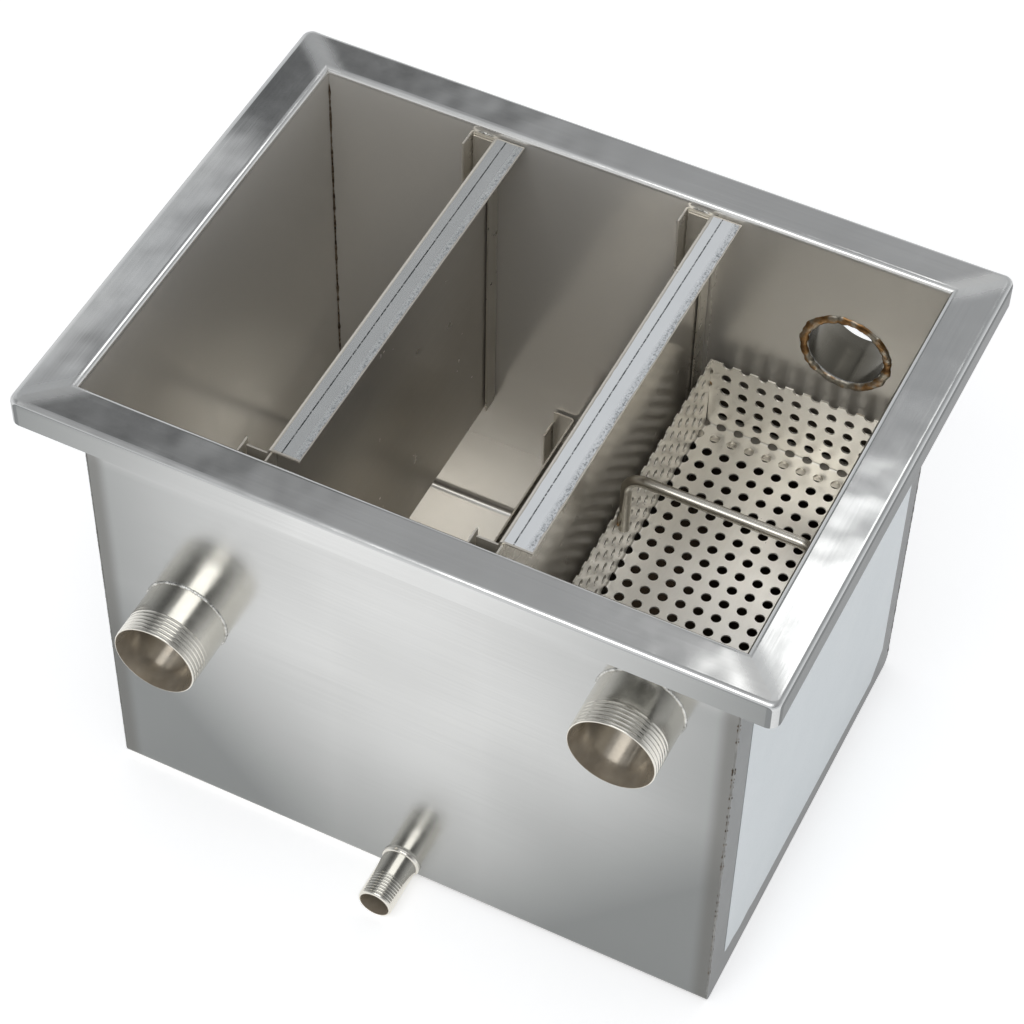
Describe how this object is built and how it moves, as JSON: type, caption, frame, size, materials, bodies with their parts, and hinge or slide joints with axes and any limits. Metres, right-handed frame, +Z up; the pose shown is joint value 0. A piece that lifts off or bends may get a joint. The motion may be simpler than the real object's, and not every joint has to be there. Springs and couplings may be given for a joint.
{
  "type": "grease trap",
  "caption": "Open-top folded stainless grease trap with lift-out baffles, a low weir, a perforated strainer basket, threaded inlets and outlet, and a small drain.",
  "frame": {"origin": "middle of the tank's underside, on the surface it stands on", "axes": "+X along the tank from the outlet end to the inlet end, +Y from the front wall to the back wall, +Z up"},
  "size_m": [0.4, 0.316, 0.304],
  "materials": {
    "tank_sheet": "satin stainless sheet with a fine brushed grain",
    "baffle_sheet": "satin stainless sheet, scuffed along its top flange",
    "perforated_sheet": "bright rolled stainless, punched",
    "handle_rod": "drawn stainless rod",
    "turned_pipe": "turned stainless with a cut thread",
    "protective_film": "thin pale protective film"
  },
  "bodies": {
    "tank": {"tank_shell": "tank_sheet", "left_end_panel": "tank_sheet", "right_end_panel": "tank_sheet", "outlet_nipple": "turned_pipe", "front_inlet_nipple": "turned_pipe", "back_inlet_nipple": "turned_pipe", "drain_nipple": "turned_pipe", "left_baffle_front_channel": "tank_sheet", "left_baffle_back_channel": "tank_sheet", "right_baffle_front_channel": "tank_sheet", "right_baffle_back_channel": "tank_sheet", "weir_front_channel": "tank_sheet", "weir_back_channel": "tank_sheet", "basket": "perforated_sheet", "basket_handle": "handle_rod", "basket_front_ledge": "tank_sheet", "basket_back_ledge": "tank_sheet", "side_film": "protective_film"},
    "left_baffle": {"left_baffle": "baffle_sheet"},
    "right_baffle": {"right_baffle": "baffle_sheet"},
    "weir": {"weir_plate": "baffle_sheet"}
  },
  "joints": [
    {"name": "left_baffle_lift", "type": "slide", "parent": "tank", "child": "left_baffle", "axis": [0, 0, 1], "range_m": [0, 0.19]},
    {"name": "right_baffle_lift", "type": "slide", "parent": "tank", "child": "right_baffle", "axis": [0, 0, 1], "range_m": [0, 0.19]},
    {"name": "weir_lift", "type": "slide", "parent": "tank", "child": "weir", "axis": [0, 0, 1], "range_m": [0, 0.085]}
  ]
}
